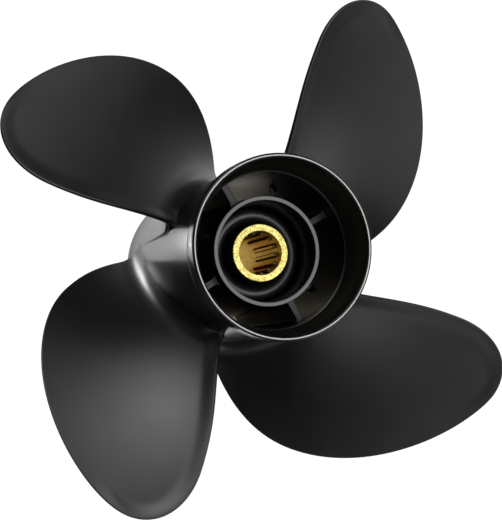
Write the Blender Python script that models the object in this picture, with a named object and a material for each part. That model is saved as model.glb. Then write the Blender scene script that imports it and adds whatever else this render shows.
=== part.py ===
"""A four-blade outboard-motor propeller with a through-hub exhaust, in metres, +Z towards the stern.

The shaft axis is the Z axis, and the part stands on the front end of its barrel, at z = 0.
The tip of blade_1 lies on +X. The turning is right-handed: seen from astern, the leading edge
of each blade is on its clockwise side.
"""

import math

import bmesh
import bpy
from mathutils import Vector
from mathutils.geometry import interpolate_bezier

# Touching pieces keep this gap.
SEAT_GAP = 0.0003
# Vertices that lie closer than this are merged where a ring closes on itself.
DOUBLES_DISTANCE = 0.000001

# Barrel: the outer tube of the casting, which drafts slightly wider towards the stern.
BARREL_LENGTH = 0.1370
BARREL_FRONT_RADIUS = 0.0491
BARREL_AFT_RADIUS = 0.0500
BARREL_BORE_FRONT_RADIUS = 0.0437
BARREL_BORE_AFT_RADIUS = 0.0457
BARREL_FRONT_ROUND = 0.0018
BARREL_SEGMENTS = 96

# Flared ring behind the barrel, which keeps the exhaust off the blades.
OVERALL_LENGTH = 0.1610
RING_RIM_RADIUS = 0.05385
RING_MOUTH_RADIUS = 0.0508
RING_THROAT_RADIUS = 0.0469
RING_LIP_LENGTH = 0.0127
RING_EDGE_ROUND = 0.0011
RING_FLARE_STEPS = 5

# Inner hub: the tube that holds the rubber bushing.
HUB_FRONT_Z = 0.0120
HUB_AFT_Z = 0.1315
HUB_FRONT_RADIUS = 0.0343
HUB_AFT_RADIUS = 0.0324
HUB_BORE_RADIUS = 0.0284
HUB_MOUTH_RADIUS = 0.0297
HUB_MOUTH_DEPTH = 0.0120
HUB_FRONT_LIP_RADIUS = 0.0240
HUB_FRONT_LIP_LENGTH = 0.0080

# Ribs between hub and barrel.
RIB_COUNT = 4
RIB_TURN = math.radians(-30.7)
RIB_THICKNESS = 0.0042
RIB_FOOT_FLARE = 0.0018
RIB_FRONT_Z = 0.0170
RIB_AFT_Z = 0.1225

# Rubber bushing, pressed into the hub, with a rounded shoulder towards the stern.
BUSHING_FRONT_Z = HUB_FRONT_Z + HUB_FRONT_LIP_LENGTH + SEAT_GAP
BUSHING_WALL_Z = 0.1000
BUSHING_CREST_Z = 0.1088
BUSHING_CREST_RADIUS = 0.0234
BUSHING_CREST_ROUND = 0.0040
BUSHING_GROOVE_Z = 0.1010

# Brass drive sleeve, with a splined stretch inside.
SLEEVE_FRONT_Z = 0.0060
SLEEVE_AFT_Z = 0.1192
SLEEVE_RADIUS = 0.01696
SLEEVE_BORE_RADIUS = 0.01294
SLEEVE_EDGE_CHAMFER = 0.0005
SPLINE_COUNT = 15
SPLINE_TURN = math.radians(10.2)
SPLINE_MINOR_RADIUS = 0.0114
SPLINE_FRONT_Z = 0.0720
SPLINE_AFT_Z = 0.1110
SPLINE_TOOTH_ROOT_HALF = math.radians(7.0)
SPLINE_TOOTH_TIP_HALF = math.radians(3.6)
SPLINE_END_SLOPE = 0.0006

# Blades: projected outline, seen along the shaft, as two smooth curves from the barrel to the tip.
BLADE_COUNT = 4
TIP_RADIUS = 0.1714
LEADING_EDGE = (
    ((0.0214, -0.0452), (0.0422, -0.0730), (0.0641, -0.0843), (0.0858, -0.0830)),
    ((0.0858, -0.0830), (0.1347, -0.0799), (TIP_RADIUS, -0.0250), (TIP_RADIUS, 0.0)),
)
TRAILING_EDGE = (
    ((0.0494, 0.0075), (0.0802, 0.0140), (0.0950, 0.0236), (0.1292, 0.0279)),
    ((0.1292, 0.0279), (0.1533, 0.0309), (TIP_RADIUS, 0.0194), (TIP_RADIUS, 0.0)),
)
CURVE_STEPS = 60

# Blades: each section lies on a cylinder about the shaft, along a helix of this pitch.
PITCH_ROOT = 0.385
PITCH_TIP = 0.366
# Height of the helix at the tip's angle: a parabola in the distance from the barrel.
RAKE_ROOT_Z = 0.0886
RAKE_SLOPE = 0.266
RAKE_EASE = 0.60
RAKE_FROM_RADIUS = 0.0500

# Blades: thickness, nearly all of it on the forward face.
THICKNESS_ROOT = 0.0110
THICKNESS_TIP = 0.0034
THICKNESS_EDGE = 0.0022
THICKNESS_FULLNESS = 0.7
CUP_HEIGHT = 0.0010
CUP_WIDTH = 0.0100

# Blades: the fillet that runs round each root.
FILLET_SIDE = 0.0090
FILLET_END = 0.0050

# The last row of a blade stops this short of the tip's point, and is filled.
TIP_CLOSING = 0.0002

# Blade mesh: cells along the section, across its thickness, and rows out from the fillet.
SECTION_CELLS = 20
THICKNESS_CELLS = 6
FILLET_ROWS = 3
BLADE_ROWS = 11


def clear_scene():
    for old in list(bpy.data.objects):
        bpy.data.objects.remove(old)


def paint(name, colour, roughness, metallic):
    """A Principled BSDF material of one plain finish."""
    material = bpy.data.materials.new(name)
    material.use_nodes = True
    shader = material.node_tree.nodes["Principled BSDF"]
    shader.inputs["Base Color"].default_value = (*colour, 1.0)
    shader.inputs["Roughness"].default_value = roughness
    shader.inputs["Metallic"].default_value = metallic
    return material


def make_object(name, mesh, material):
    """Links a mesh into the scene with round surfaces shaded smooth."""
    mesh.materials.append(material)
    mesh.shade_smooth()
    mesh.set_sharp_from_angle(angle=math.radians(35.0))
    placed = bpy.data.objects.new(name, mesh)
    bpy.context.scene.collection.objects.link(placed)
    return placed


def closed_loop(bm, points):
    """Joins new vertices at these points into a ring, and gives its edges."""
    corners = [bm.verts.new(point) for point in points]
    return [bm.edges.new((corners[i - 1], corners[i])) for i in range(len(corners))]


def drawn_on(bm, border, places):
    """Extrudes a ring of edges once and puts each new vertex where places has it for its old one."""
    grown = bmesh.ops.extrude_edge_only(bm, edges=border)["geom"]
    new_places = {}
    for vert in (item for item in grown if isinstance(item, bmesh.types.BMVert)):
        riser = next(edge for edge in vert.link_edges if not edge.is_boundary)
        new_places[vert] = places[riser.other_vert(vert)]
    new_border = [item for item in grown if isinstance(item, bmesh.types.BMEdge) and item.is_boundary]
    return new_border, new_places


def finished_mesh(bm, name):
    """Turns every face outwards and hands the bmesh over as a mesh."""
    bmesh.ops.recalc_face_normals(bm, faces=bm.faces)
    mesh = bpy.data.meshes.new(name)
    bm.to_mesh(mesh)
    bm.free()
    return mesh


def turned(name, profile, material, segments=BARREL_SEGMENTS):
    """Spins a closed profile of (radius, z) points about the shaft axis."""
    bm = bmesh.new()
    closed_loop(bm, [(radius, 0.0, z) for radius, z in profile])
    bmesh.ops.spin(
        bm, geom=bm.verts[:] + bm.edges[:], cent=(0.0, 0.0, 0.0), axis=(0.0, 0.0, 1.0),
        angle=math.tau, steps=segments, use_merge=True,
    )
    make_object(name, finished_mesh(bm, name), material)


def arc(centre, radius, start, end, steps):
    """Points of an arc in the (radius, z) plane, angles in degrees from the outward direction."""
    points = []
    for step in range(steps + 1):
        angle = math.radians(start + (end - start) * step / steps)
        points.append((centre[0] + radius * math.cos(angle), centre[1] + radius * math.sin(angle)))
    return points


def drafted(front_radius, aft_radius, front_z, aft_z, z):
    """Radius at a height on a cast wall that tapers evenly between its two ends."""
    return front_radius + (aft_radius - front_radius) * (z - front_z) / (aft_z - front_z)


def barrel_radius(z):
    return drafted(BARREL_FRONT_RADIUS, BARREL_AFT_RADIUS, 0.0, BARREL_LENGTH, z)


def bore_radius(z):
    return drafted(BARREL_BORE_FRONT_RADIUS, BARREL_BORE_AFT_RADIUS, 0.0, BARREL_LENGTH, z)


def hub_radius(z):
    return drafted(HUB_FRONT_RADIUS, HUB_AFT_RADIUS, HUB_FRONT_Z, HUB_AFT_Z, z)


def build_barrel(material):
    round_ = BARREL_FRONT_ROUND
    front_edge = arc((BARREL_FRONT_RADIUS - round_, round_), round_, -90.0, 0.0, 3)
    profile = front_edge + [
        (BARREL_AFT_RADIUS, BARREL_LENGTH),
        (BARREL_BORE_AFT_RADIUS, BARREL_LENGTH),
        (BARREL_BORE_FRONT_RADIUS, 0.0),
    ]
    turned("outer_barrel", profile, material)


def build_ring(material):
    """The ring flares out of the barrel in a hollow curve and ends in a straight lip."""
    foot = BARREL_LENGTH + SEAT_GAP
    lip = OVERALL_LENGTH - RING_LIP_LENGTH
    flare_rise = lip - foot
    flare_out = RING_RIM_RADIUS - BARREL_AFT_RADIUS
    flare = []
    for step in range(RING_FLARE_STEPS + 1):
        share = step / RING_FLARE_STEPS
        flare.append((BARREL_AFT_RADIUS + flare_out * share**2, foot + flare_rise * share))
    edge = OVERALL_LENGTH - RING_EDGE_ROUND
    outer_edge = arc((RING_RIM_RADIUS - RING_EDGE_ROUND, edge), RING_EDGE_ROUND, 0.0, 90.0, 3)
    inner_edge = arc((RING_MOUTH_RADIUS + RING_EDGE_ROUND, edge), RING_EDGE_ROUND, 90.0, 180.0, 3)
    profile = [(RING_THROAT_RADIUS, foot)] + flare + outer_edge + inner_edge
    turned("aft_ring", profile, material)


def build_hub(material):
    lip_end = HUB_FRONT_Z + HUB_FRONT_LIP_LENGTH
    profile = [
        (HUB_FRONT_LIP_RADIUS, HUB_FRONT_Z),
        (HUB_FRONT_RADIUS, HUB_FRONT_Z),
        (HUB_AFT_RADIUS, HUB_AFT_Z),
        (HUB_MOUTH_RADIUS, HUB_AFT_Z),
        (HUB_BORE_RADIUS, HUB_AFT_Z - HUB_MOUTH_DEPTH),
        (HUB_BORE_RADIUS, lip_end),
        (HUB_FRONT_LIP_RADIUS, lip_end),
    ]
    turned("inner_hub", profile, material)


def build_bushing(material):
    wall = HUB_BORE_RADIUS - SEAT_GAP
    inner = SLEEVE_RADIUS + SEAT_GAP
    crest_centre = (BUSHING_CREST_RADIUS, BUSHING_CREST_Z - BUSHING_CREST_ROUND)
    crest = arc(crest_centre, BUSHING_CREST_ROUND, 20.0, 160.0, 6)
    profile = [(inner, BUSHING_FRONT_Z), (wall, BUSHING_FRONT_Z), (wall, BUSHING_WALL_Z)]
    profile += crest + [(inner, BUSHING_GROOVE_Z)]
    turned("rubber_bushing", profile, material, segments=64)


def sleeve_ring_points(z, toothed):
    """One ring of bore points: four for each spline pitch, at the tooth's roots and tips."""
    tip_radius = SPLINE_MINOR_RADIUS if toothed else SLEEVE_BORE_RADIUS
    points = []
    for tooth in range(SPLINE_COUNT):
        middle = SPLINE_TURN + math.tau * tooth / SPLINE_COUNT
        corners = (
            (-SPLINE_TOOTH_ROOT_HALF, SLEEVE_BORE_RADIUS),
            (-SPLINE_TOOTH_TIP_HALF, tip_radius),
            (SPLINE_TOOTH_TIP_HALF, tip_radius),
            (SPLINE_TOOTH_ROOT_HALF, SLEEVE_BORE_RADIUS),
        )
        for turn, radius in corners:
            points.append(Vector((radius * math.cos(middle + turn), radius * math.sin(middle + turn), z)))
    return points


def build_sleeve(material):
    """Draws ring after ring: up the splined bore, over the aft end, down the outside and back."""
    def scaled(points, radius, z):
        return [Vector((p.x, p.y, 0.0)).normalized() * radius + Vector((0.0, 0.0, z)) for p in points]

    bore = SLEEVE_BORE_RADIUS
    chamfer = SLEEVE_EDGE_CHAMFER
    plain = sleeve_ring_points(0.0, False)
    rings = [
        scaled(plain, bore + chamfer, SLEEVE_FRONT_Z),
        scaled(plain, bore, SLEEVE_FRONT_Z + chamfer),
        sleeve_ring_points(SPLINE_FRONT_Z, False),
        sleeve_ring_points(SPLINE_FRONT_Z + SPLINE_END_SLOPE, True),
        sleeve_ring_points(SPLINE_AFT_Z - SPLINE_END_SLOPE, True),
        sleeve_ring_points(SPLINE_AFT_Z, False),
        scaled(plain, bore, SLEEVE_AFT_Z - chamfer),
        scaled(plain, bore + chamfer, SLEEVE_AFT_Z),
        scaled(plain, SLEEVE_RADIUS - chamfer, SLEEVE_AFT_Z),
        scaled(plain, SLEEVE_RADIUS, SLEEVE_AFT_Z - chamfer),
        scaled(plain, SLEEVE_RADIUS, SLEEVE_FRONT_Z + chamfer),
        scaled(plain, SLEEVE_RADIUS - chamfer, SLEEVE_FRONT_Z),
    ]
    bm = bmesh.new()
    border = closed_loop(bm, rings[0])
    order = {vert: index for index, vert in enumerate(bm.verts)}
    for ring in rings[1:] + rings[:1]:
        border, order = drawn_on(bm, border, order)
        for vert, index in order.items():
            vert.co = ring[index]
    bmesh.ops.remove_doubles(bm, verts=bm.verts, dist=DOUBLES_DISTANCE)
    make_object("drive_sleeve", finished_mesh(bm, "drive_sleeve"), material)


def rib_outline(z):
    """A rib's section at a height: a thin wall with feet that widen on the hub and the barrel."""
    inner = hub_radius(z) + SEAT_GAP
    outer = bore_radius(z) - SEAT_GAP
    half = RIB_THICKNESS / 2
    flare = RIB_FOOT_FLARE
    one_side = [(inner, half + flare), (inner + flare, half), (outer - flare, half), (outer, half + flare)]
    return one_side + [(radius, -side) for radius, side in reversed(one_side)]


def build_ribs(material):
    for number in range(RIB_COUNT):
        name = f"rib_{number + 1}"
        bm = bmesh.new()
        ends = [closed_loop(bm, [(*corner, z) for corner in rib_outline(z)]) for z in (RIB_FRONT_Z, RIB_AFT_Z)]
        bmesh.ops.bridge_loops(bm, edges=ends[0] + ends[1])
        for end in ends:
            bmesh.ops.edgeloop_fill(bm, edges=end)
        rib = make_object(name, finished_mesh(bm, name), material)
        rib.rotation_euler.z = RIB_TURN + math.tau * number / RIB_COUNT


def edge_angles(curves):
    """Samples an edge curve and gives its (radius, angle) pairs from the barrel outwards."""
    pairs = []
    for knot, handle, next_handle, next_knot in curves:
        corners = [Vector((*point, 0.0)) for point in (knot, handle, next_handle, next_knot)]
        for point in interpolate_bezier(*corners, CURVE_STEPS):
            pairs.append((math.hypot(point.x, point.y), math.atan2(point.y, point.x)))
    return sorted(pairs)


def angle_at(pairs, radius):
    """The angle of an edge where it crosses a cylinder of this radius."""
    for (low, low_angle), (high, high_angle) in zip(pairs, pairs[1:]):
        if low <= radius <= high and high > low:
            share = (radius - low) / (high - low)
            return low_angle + (high_angle - low_angle) * share
    return pairs[0][1] if radius < pairs[0][0] else pairs[-1][1]


def helix_height(radius):
    """Height of the blade's middle surface at the tip's angle."""
    out = radius - RAKE_FROM_RADIUS
    return RAKE_ROOT_Z + RAKE_SLOPE * out - RAKE_EASE * out * out


def section_point(radius, along, across, leading, trailing, flare):
    """A point of the blade section on a cylinder.

    along runs from 0 at the leading edge to 1 at the trailing edge, across from -1 on the forward
    face to 1 on the aft face, and flare is how far the root fillet has spread, from 0 to 1.
    """
    out = (radius - RAKE_FROM_RADIUS) / (TIP_RADIUS - RAKE_FROM_RADIUS)
    pitch = PITCH_ROOT + (PITCH_TIP - PITCH_ROOT) * out
    helix = math.atan2(pitch, math.tau * radius)
    width = (trailing - leading) * radius / math.cos(helix)
    thickest = THICKNESS_TIP + (THICKNESS_ROOT - THICKNESS_TIP) * max(0.0, 1.0 - out)
    swell = (4.0 * along * (1.0 - along)) ** THICKNESS_FULLNESS
    forward_half = THICKNESS_EDGE / 2 + (thickest - THICKNESS_EDGE) * swell
    lift = THICKNESS_EDGE / 2 if across > 0 else forward_half
    to_trailing = (1.0 - along) * width
    cup = CUP_HEIGHT * max(0.0, 1.0 - to_trailing / CUP_WIDTH) ** 2
    offset = across * lift + cup + across * flare * FILLET_SIDE
    nose = (1.0 - across * across) * (THICKNESS_EDGE / 2 + flare * FILLET_END) + flare * FILLET_END
    step = (along - 0.5) * (width - THICKNESS_EDGE)
    if along == 0.0:
        step -= nose
    elif along == 1.0:
        step += nose
    angle = (leading + trailing) / 2 + (step * math.cos(helix) - offset * math.sin(helix)) / radius
    middle_angle = (leading + trailing) / 2
    middle_z = helix_height(radius) + pitch * middle_angle / math.tau
    z = middle_z + step * math.sin(helix) + offset * math.cos(helix)
    return angle, z


def blade_rows():
    """(radius, flare) of each row: round the root fillet, then out to the tip."""
    rows = []
    for row in range(FILLET_ROWS):
        turn = math.radians(90.0 * row / FILLET_ROWS)
        rows.append((RAKE_FROM_RADIUS + FILLET_SIDE * (1.0 - math.cos(turn)), 1.0 - math.sin(turn)))
    start = RAKE_FROM_RADIUS + FILLET_SIDE
    for row in range(BLADE_ROWS + 1):
        share = math.sin(math.pi / 2 * row / BLADE_ROWS)
        rows.append((start + (TIP_RADIUS - TIP_CLOSING - start) * share, 0.0))
    return rows


def blade_mesh():
    """Lays the root on the barrel as a grid, then draws its border out row by row to the tip."""
    leading_pairs = edge_angles(LEADING_EDGE)
    trailing_pairs = edge_angles(TRAILING_EDGE)
    rows = blade_rows()

    def place(radius, flare, along, across, on_barrel=False):
        leading = angle_at(leading_pairs, radius)
        trailing = angle_at(trailing_pairs, radius)
        angle, z = section_point(radius, along, across, leading, trailing, flare)
        if on_barrel:
            radius = barrel_radius(z) + SEAT_GAP
        return Vector((radius * math.cos(angle), radius * math.sin(angle), z))

    bm = bmesh.new()
    bmesh.ops.create_grid(bm, x_segments=SECTION_CELLS, y_segments=THICKNESS_CELLS, size=1.0)
    shares = {}
    for vert in bm.verts:
        along = (1.0 - math.cos(math.pi * (vert.co.x + 1.0) / 2)) / 2
        shares[vert] = (round(along, 6), round(vert.co.y, 6))
        vert.co = place(*rows[0], *shares[vert], on_barrel=True)
    border = [edge for edge in bm.edges if edge.is_boundary]
    for radius, flare in rows[1:]:
        border, shares = drawn_on(bm, border, shares)
        for vert, share in shares.items():
            vert.co = place(radius, flare, *share)
    bmesh.ops.holes_fill(bm, edges=border, sides=0)
    bmesh.ops.triangulate(bm, faces=bm.faces)
    return finished_mesh(bm, "blade")


def build_blades(material):
    mesh = blade_mesh()
    for number in range(BLADE_COUNT):
        blade = make_object(f"blade_{number + 1}", mesh.copy(), material)
        blade.rotation_euler.z = math.tau * number / BLADE_COUNT


clear_scene()
black_paint = paint("black_paint", (0.016, 0.016, 0.017), 0.32, 0.0)
black_rubber = paint("black_rubber", (0.012, 0.012, 0.013), 0.45, 0.0)
sawn_brass = paint("sawn_brass", (0.83, 0.62, 0.24), 0.35, 1.0)
build_barrel(black_paint)
build_ring(black_paint)
build_hub(black_paint)
build_ribs(black_paint)
build_blades(black_paint)
build_bushing(black_rubber)
build_sleeve(sawn_brass)
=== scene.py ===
import math

import bmesh
import bpy
from mathutils import Euler, Matrix, Vector


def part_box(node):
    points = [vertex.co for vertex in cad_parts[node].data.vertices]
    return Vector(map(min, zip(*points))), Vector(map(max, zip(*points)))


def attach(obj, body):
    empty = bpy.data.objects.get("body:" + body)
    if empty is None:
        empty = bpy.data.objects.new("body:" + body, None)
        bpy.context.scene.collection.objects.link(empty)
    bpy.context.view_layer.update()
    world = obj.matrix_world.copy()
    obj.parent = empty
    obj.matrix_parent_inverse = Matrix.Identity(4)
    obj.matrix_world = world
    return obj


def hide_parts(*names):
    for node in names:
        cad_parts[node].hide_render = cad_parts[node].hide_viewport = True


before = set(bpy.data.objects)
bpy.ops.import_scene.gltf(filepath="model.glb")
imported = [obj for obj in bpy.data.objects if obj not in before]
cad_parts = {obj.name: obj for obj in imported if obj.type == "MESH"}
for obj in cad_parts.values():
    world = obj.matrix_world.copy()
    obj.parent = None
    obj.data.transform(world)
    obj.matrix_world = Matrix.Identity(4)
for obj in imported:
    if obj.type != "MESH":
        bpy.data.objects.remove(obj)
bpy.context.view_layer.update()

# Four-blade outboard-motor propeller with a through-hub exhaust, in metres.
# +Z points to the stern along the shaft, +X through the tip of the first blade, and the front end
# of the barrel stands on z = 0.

# Exhaust barrel and aft ring
# The outer tube of the propeller. It is cast in aluminium alloy in one piece with the hub, the
# ribs and the blades, machined at its ends and sprayed with black enamel. Behind the blades it
# flares in a cone that curls up into a straight lip, which keeps the exhaust off the blades.

BARREL_FRONT_RADIUS = 0.0491
BARREL_AFT_RADIUS = 0.0500
BARREL_AFT_Z = 0.1370
BORE_FRONT_RADIUS = 0.0437
BORE_AFT_RADIUS = 0.0457
BARREL_END_ROUND = 0.0018
LIP_RADIUS = 0.05385
LIP_FRONT_Z = 0.1511
LIP_FRONT_ROUND = 0.0005
FLARE_FOOT_Z = 0.1362
FLARE_HEAD_Z = 0.1499
FLARE_HEAD_RADIUS = 0.0530
FLARE_SUPPORT = 0.0002
CURL_ROUND = 0.0012
# In degrees: where the lip's front round starts, where the flare's head lies as seen from the
# curl's centre, and where the curl starts and ends.
LIP_FRONT_START = -70.0
CURL_HEAD_TURN = 155.0
CURL_FIRST_TURN = 152.0
CURL_LAST_TURN = 105.0
RIM_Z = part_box("aft_ring")[1].z
RIM_THICKNESS = 0.0030
RIM_OUTER_ROUND = 0.0013
RIM_INNER_ROUND = 0.0015
THROAT_RADIUS = 0.0469
THROAT_Z = 0.1376
THROAT_EDGE = 0.0004
BORE_FRONT_EDGE = 0.0005
# How far below the rim's top the painted highlight reaches.
RIM_HIGHLIGHT_DEPTH = 0.00003
FLARE_STEPS = 24
TURNING_STEPS = 288
MERGE_DISTANCE = 1e-6
SHARP_FROM = math.radians(40.0)
# The enamel's colour in its darker and in its paler spots.
DEEP_BLACK = ((0.0018, 0.0018, 0.0019), (0.00306, 0.00306, 0.00323))
# The paler colour of the rim's crest, a painted highlight.
RIM_HIGHLIGHT_METAL = ((0.20, 0.20, 0.20), (0.30, 0.30, 0.30))
BARREL_PEEL = 0.00001
BARREL_PEEL_SCALE = 900.0
# How much the enamel inside the mouth reflects, lowered as painted shade.
THROAT_SHADE_SHINE = 0.25


def arc(centre, radius, start, end, steps):
    """Points of an arc in the (radius, z) plane, with angles in degrees from the outward direction."""
    points = []
    for step in range(steps + 1):
        angle = math.radians(start + (end - start) * step / steps)
        points.append((centre[0] + radius * math.cos(angle), centre[1] + radius * math.sin(angle)))
    return points


def barrel_radius(z):
    return BARREL_FRONT_RADIUS + (BARREL_AFT_RADIUS - BARREL_FRONT_RADIUS) * z / BARREL_AFT_Z


def bore_radius(z):
    return BORE_FRONT_RADIUS + (BORE_AFT_RADIUS - BORE_FRONT_RADIUS) * z / BARREL_AFT_Z


def finished_piece(bm, name, *materials):
    """Turns the faces outwards, shades the round ones smooth and links the piece into the scene."""
    bmesh.ops.recalc_face_normals(bm, faces=bm.faces)
    mesh = bpy.data.meshes.new(name)
    bm.to_mesh(mesh)
    bm.free()
    for material in materials:
        mesh.materials.append(material)
    mesh.shade_smooth()
    mesh.set_sharp_from_angle(angle=SHARP_FROM)
    piece = bpy.data.objects.new(name, mesh)
    bpy.context.scene.collection.objects.link(piece)
    return piece


def turned(profile, steps=TURNING_STEPS):
    """Spins a closed profile of (radius, z) points once round the shaft."""
    bm = bmesh.new()
    corners = [bm.verts.new((radius, 0.0, z)) for radius, z in profile]
    for index in range(len(corners)):
        bm.edges.new((corners[index - 1], corners[index]))
    bmesh.ops.spin(
        bm, geom=bm.verts[:] + bm.edges[:], cent=(0.0, 0.0, 0.0), axis=(0.0, 0.0, 1.0),
        angle=math.tau, steps=steps, use_merge=True,
    )
    bmesh.ops.remove_doubles(bm, verts=bm.verts, dist=MERGE_DISTANCE)
    return bm


def grain_group():
    """Sprayed enamel: fine orange peel over the slow waves of the casting, and a slight change of tone."""
    group = bpy.data.node_groups.new("sprayed_grain", "ShaderNodeTree")
    for name, default in (("Peel scale", 900.0), ("Peel share", 0.6), ("Wave scale", 60.0)):
        socket = group.interface.new_socket(name, in_out="INPUT", socket_type="NodeSocketFloat")
        socket.default_value = default
    group.interface.new_socket("Height", in_out="OUTPUT", socket_type="NodeSocketFloat")
    group.interface.new_socket("Tone", in_out="OUTPUT", socket_type="NodeSocketFloat")
    nodes, links = group.nodes, group.links
    inputs = nodes.new("NodeGroupInput")
    outputs = nodes.new("NodeGroupOutput")
    place = nodes.new("ShaderNodeTexCoord")
    peel = nodes.new("ShaderNodeTexNoise")
    peel.inputs["Detail"].default_value = 1.5
    waves = nodes.new("ShaderNodeTexNoise")
    waves.inputs["Detail"].default_value = 2.0
    mix = nodes.new("ShaderNodeMix")
    links.new(place.outputs["Object"], peel.inputs["Vector"])
    links.new(place.outputs["Object"], waves.inputs["Vector"])
    links.new(inputs.outputs["Peel scale"], peel.inputs["Scale"])
    links.new(inputs.outputs["Wave scale"], waves.inputs["Scale"])
    links.new(inputs.outputs["Peel share"], mix.inputs["Factor"])
    links.new(waves.outputs["Fac"], mix.inputs["A"])
    links.new(peel.outputs["Fac"], mix.inputs["B"])
    links.new(mix.outputs["Result"], outputs.inputs["Height"])
    links.new(waves.outputs["Fac"], outputs.inputs["Tone"])
    return group


sprayed_grain = grain_group()


def grained(name, peel_scale, gloss, relief_height, wave_scale=60.0):
    """Makes a material whose gloss and relief follow the grain.

    gloss is its roughness where the grain's tone is low and where it is high. Also returns the
    socket that carries the tone.
    """
    material = bpy.data.materials.new(name)
    material.use_nodes = True
    nodes, links = material.node_tree.nodes, material.node_tree.links
    shader = nodes["Principled BSDF"]
    grain = nodes.new("ShaderNodeGroup")
    grain.node_tree = sprayed_grain
    grain.inputs["Peel scale"].default_value = peel_scale
    grain.inputs["Wave scale"].default_value = wave_scale
    roughness = nodes.new("ShaderNodeMapRange")
    roughness.inputs["To Min"].default_value, roughness.inputs["To Max"].default_value = gloss
    relief = nodes.new("ShaderNodeBump")
    relief.inputs["Distance"].default_value = relief_height
    links.new(grain.outputs["Tone"], roughness.inputs["Value"])
    links.new(grain.outputs["Height"], relief.inputs["Height"])
    links.new(roughness.outputs["Result"], shader.inputs["Roughness"])
    links.new(relief.outputs["Normal"], shader.inputs["Normal"])
    return material, grain.outputs["Tone"]


def mixed(material, factor, low, high):
    """Blends two colours by a factor and returns the socket that carries the blend."""
    blend = material.node_tree.nodes.new("ShaderNodeMix")
    blend.data_type = "RGBA"
    blend.inputs["A"].default_value = (*low, 1.0)
    blend.inputs["B"].default_value = (*high, 1.0)
    material.node_tree.links.new(factor, blend.inputs["Factor"])
    return blend.outputs["Result"]


def enamel(name, colours, gloss, relief_height, peel_scale, shine=0.5, metallic=0.0):
    """Enamel over cast aluminium, with a slow change between its two colours."""
    material, tone = grained(name, peel_scale, gloss, relief_height)
    shader = material.node_tree.nodes["Principled BSDF"]
    shader.inputs["Specular IOR Level"].default_value = shine
    shader.inputs["Metallic"].default_value = metallic
    material.node_tree.links.new(mixed(material, tone, *colours), shader.inputs["Base Color"])
    return material


barrel_profile = arc(
    (BARREL_FRONT_RADIUS - BARREL_END_ROUND, BARREL_END_ROUND), BARREL_END_ROUND, -90.0, 0.0, steps=8)
# The last ring of the plain tube keeps the shading straight up to the flare's foot.
barrel_profile.append((barrel_radius(FLARE_FOOT_Z - FLARE_SUPPORT), FLARE_FOOT_Z - FLARE_SUPPORT))
flare_foot_radius = barrel_radius(FLARE_FOOT_Z)
for step in range(FLARE_STEPS + 1):
    share = step / FLARE_STEPS
    barrel_profile.append((
        flare_foot_radius + (FLARE_HEAD_RADIUS - flare_foot_radius) * share,
        FLARE_FOOT_Z + (FLARE_HEAD_Z - FLARE_FOOT_Z) * share,
    ))
curl_centre = (
    FLARE_HEAD_RADIUS - CURL_ROUND * math.cos(math.radians(CURL_HEAD_TURN)),
    FLARE_HEAD_Z - CURL_ROUND * math.sin(math.radians(CURL_HEAD_TURN)),
)
barrel_profile += arc(curl_centre, CURL_ROUND, CURL_FIRST_TURN, CURL_LAST_TURN, steps=5)
barrel_profile += arc(
    (LIP_RADIUS - LIP_FRONT_ROUND, LIP_FRONT_Z), LIP_FRONT_ROUND, LIP_FRONT_START, 0.0, steps=4)
barrel_profile += arc(
    (LIP_RADIUS - RIM_OUTER_ROUND, RIM_Z - RIM_OUTER_ROUND), RIM_OUTER_ROUND, 0.0, 90.0, steps=10)
rim_inner = LIP_RADIUS - RIM_THICKNESS
barrel_profile += arc(
    (rim_inner + RIM_INNER_ROUND, RIM_Z - RIM_INNER_ROUND), RIM_INNER_ROUND, 90.0, 180.0, steps=10)
barrel_profile += [
    (THROAT_RADIUS, THROAT_Z + THROAT_EDGE),
    (THROAT_RADIUS - THROAT_EDGE, THROAT_Z),
    (BORE_AFT_RADIUS, THROAT_Z - THROAT_EDGE),
    (BORE_FRONT_RADIUS + BORE_FRONT_EDGE, BORE_FRONT_EDGE),
    (BORE_FRONT_RADIUS + 2 * BORE_FRONT_EDGE, 0.0),
]
bm = turned(barrel_profile)

barrel_enamel = enamel("barrel_enamel", DEEP_BLACK, (0.19, 0.25), BARREL_PEEL, BARREL_PEEL_SCALE)
# On the rim's flat crest a paler, partly metallic finish makes the rim's bright line: a painted highlight.
rim_highlight = enamel(
    "rim_highlight", RIM_HIGHLIGHT_METAL, (0.30, 0.38), BARREL_PEEL, BARREL_PEEL_SCALE, metallic=0.6)
# Inside the mouth and on the ribs the enamel is rougher and reflects less, which darkens them: painted
# shade.
shaded_throat_enamel = enamel(
    "shaded_throat_enamel", DEEP_BLACK, (0.30, 0.40), BARREL_PEEL, BARREL_PEEL_SCALE, shine=THROAT_SHADE_SHINE)
for face in bm.faces:
    middle = face.calc_center_median()
    inside = math.hypot(middle.x, middle.y) < rim_inner + RIM_THICKNESS / 2
    # The rim's crest gets the painted highlight.
    if middle.z > RIM_Z - RIM_HIGHLIGHT_DEPTH:
        face.material_index = 1
    # The inside of the mouth gets the painted shade.
    elif inside and middle.z > THROAT_Z - THROAT_EDGE:
        face.material_index = 2
barrel = finished_piece(bm, "painted_barrel", barrel_enamel, rim_highlight, shaded_throat_enamel)
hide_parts("outer_barrel", "aft_ring")
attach(barrel, "root")

# Inner hub
# The tube in the middle of the casting. Its machined aft face is painted with the rest, and its
# bore, a little wider at the mouth, holds the pressed-in rubber bushing.

HUB_FRONT_Z, HUB_AFT_Z = (corner.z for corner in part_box("inner_hub"))
HUB_FRONT_RADIUS = 0.0343
HUB_AFT_RADIUS = 0.0324
HUB_MOUTH_RADIUS = 0.0297
HUB_BORE_RADIUS = 0.0284
HUB_MOUTH_DEPTH = 0.0120
HUB_EDGE_ROUND = 0.0004
HUB_FRONT_LIP_RADIUS = 0.0240
HUB_FRONT_LIP_Z = 0.0200


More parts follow.
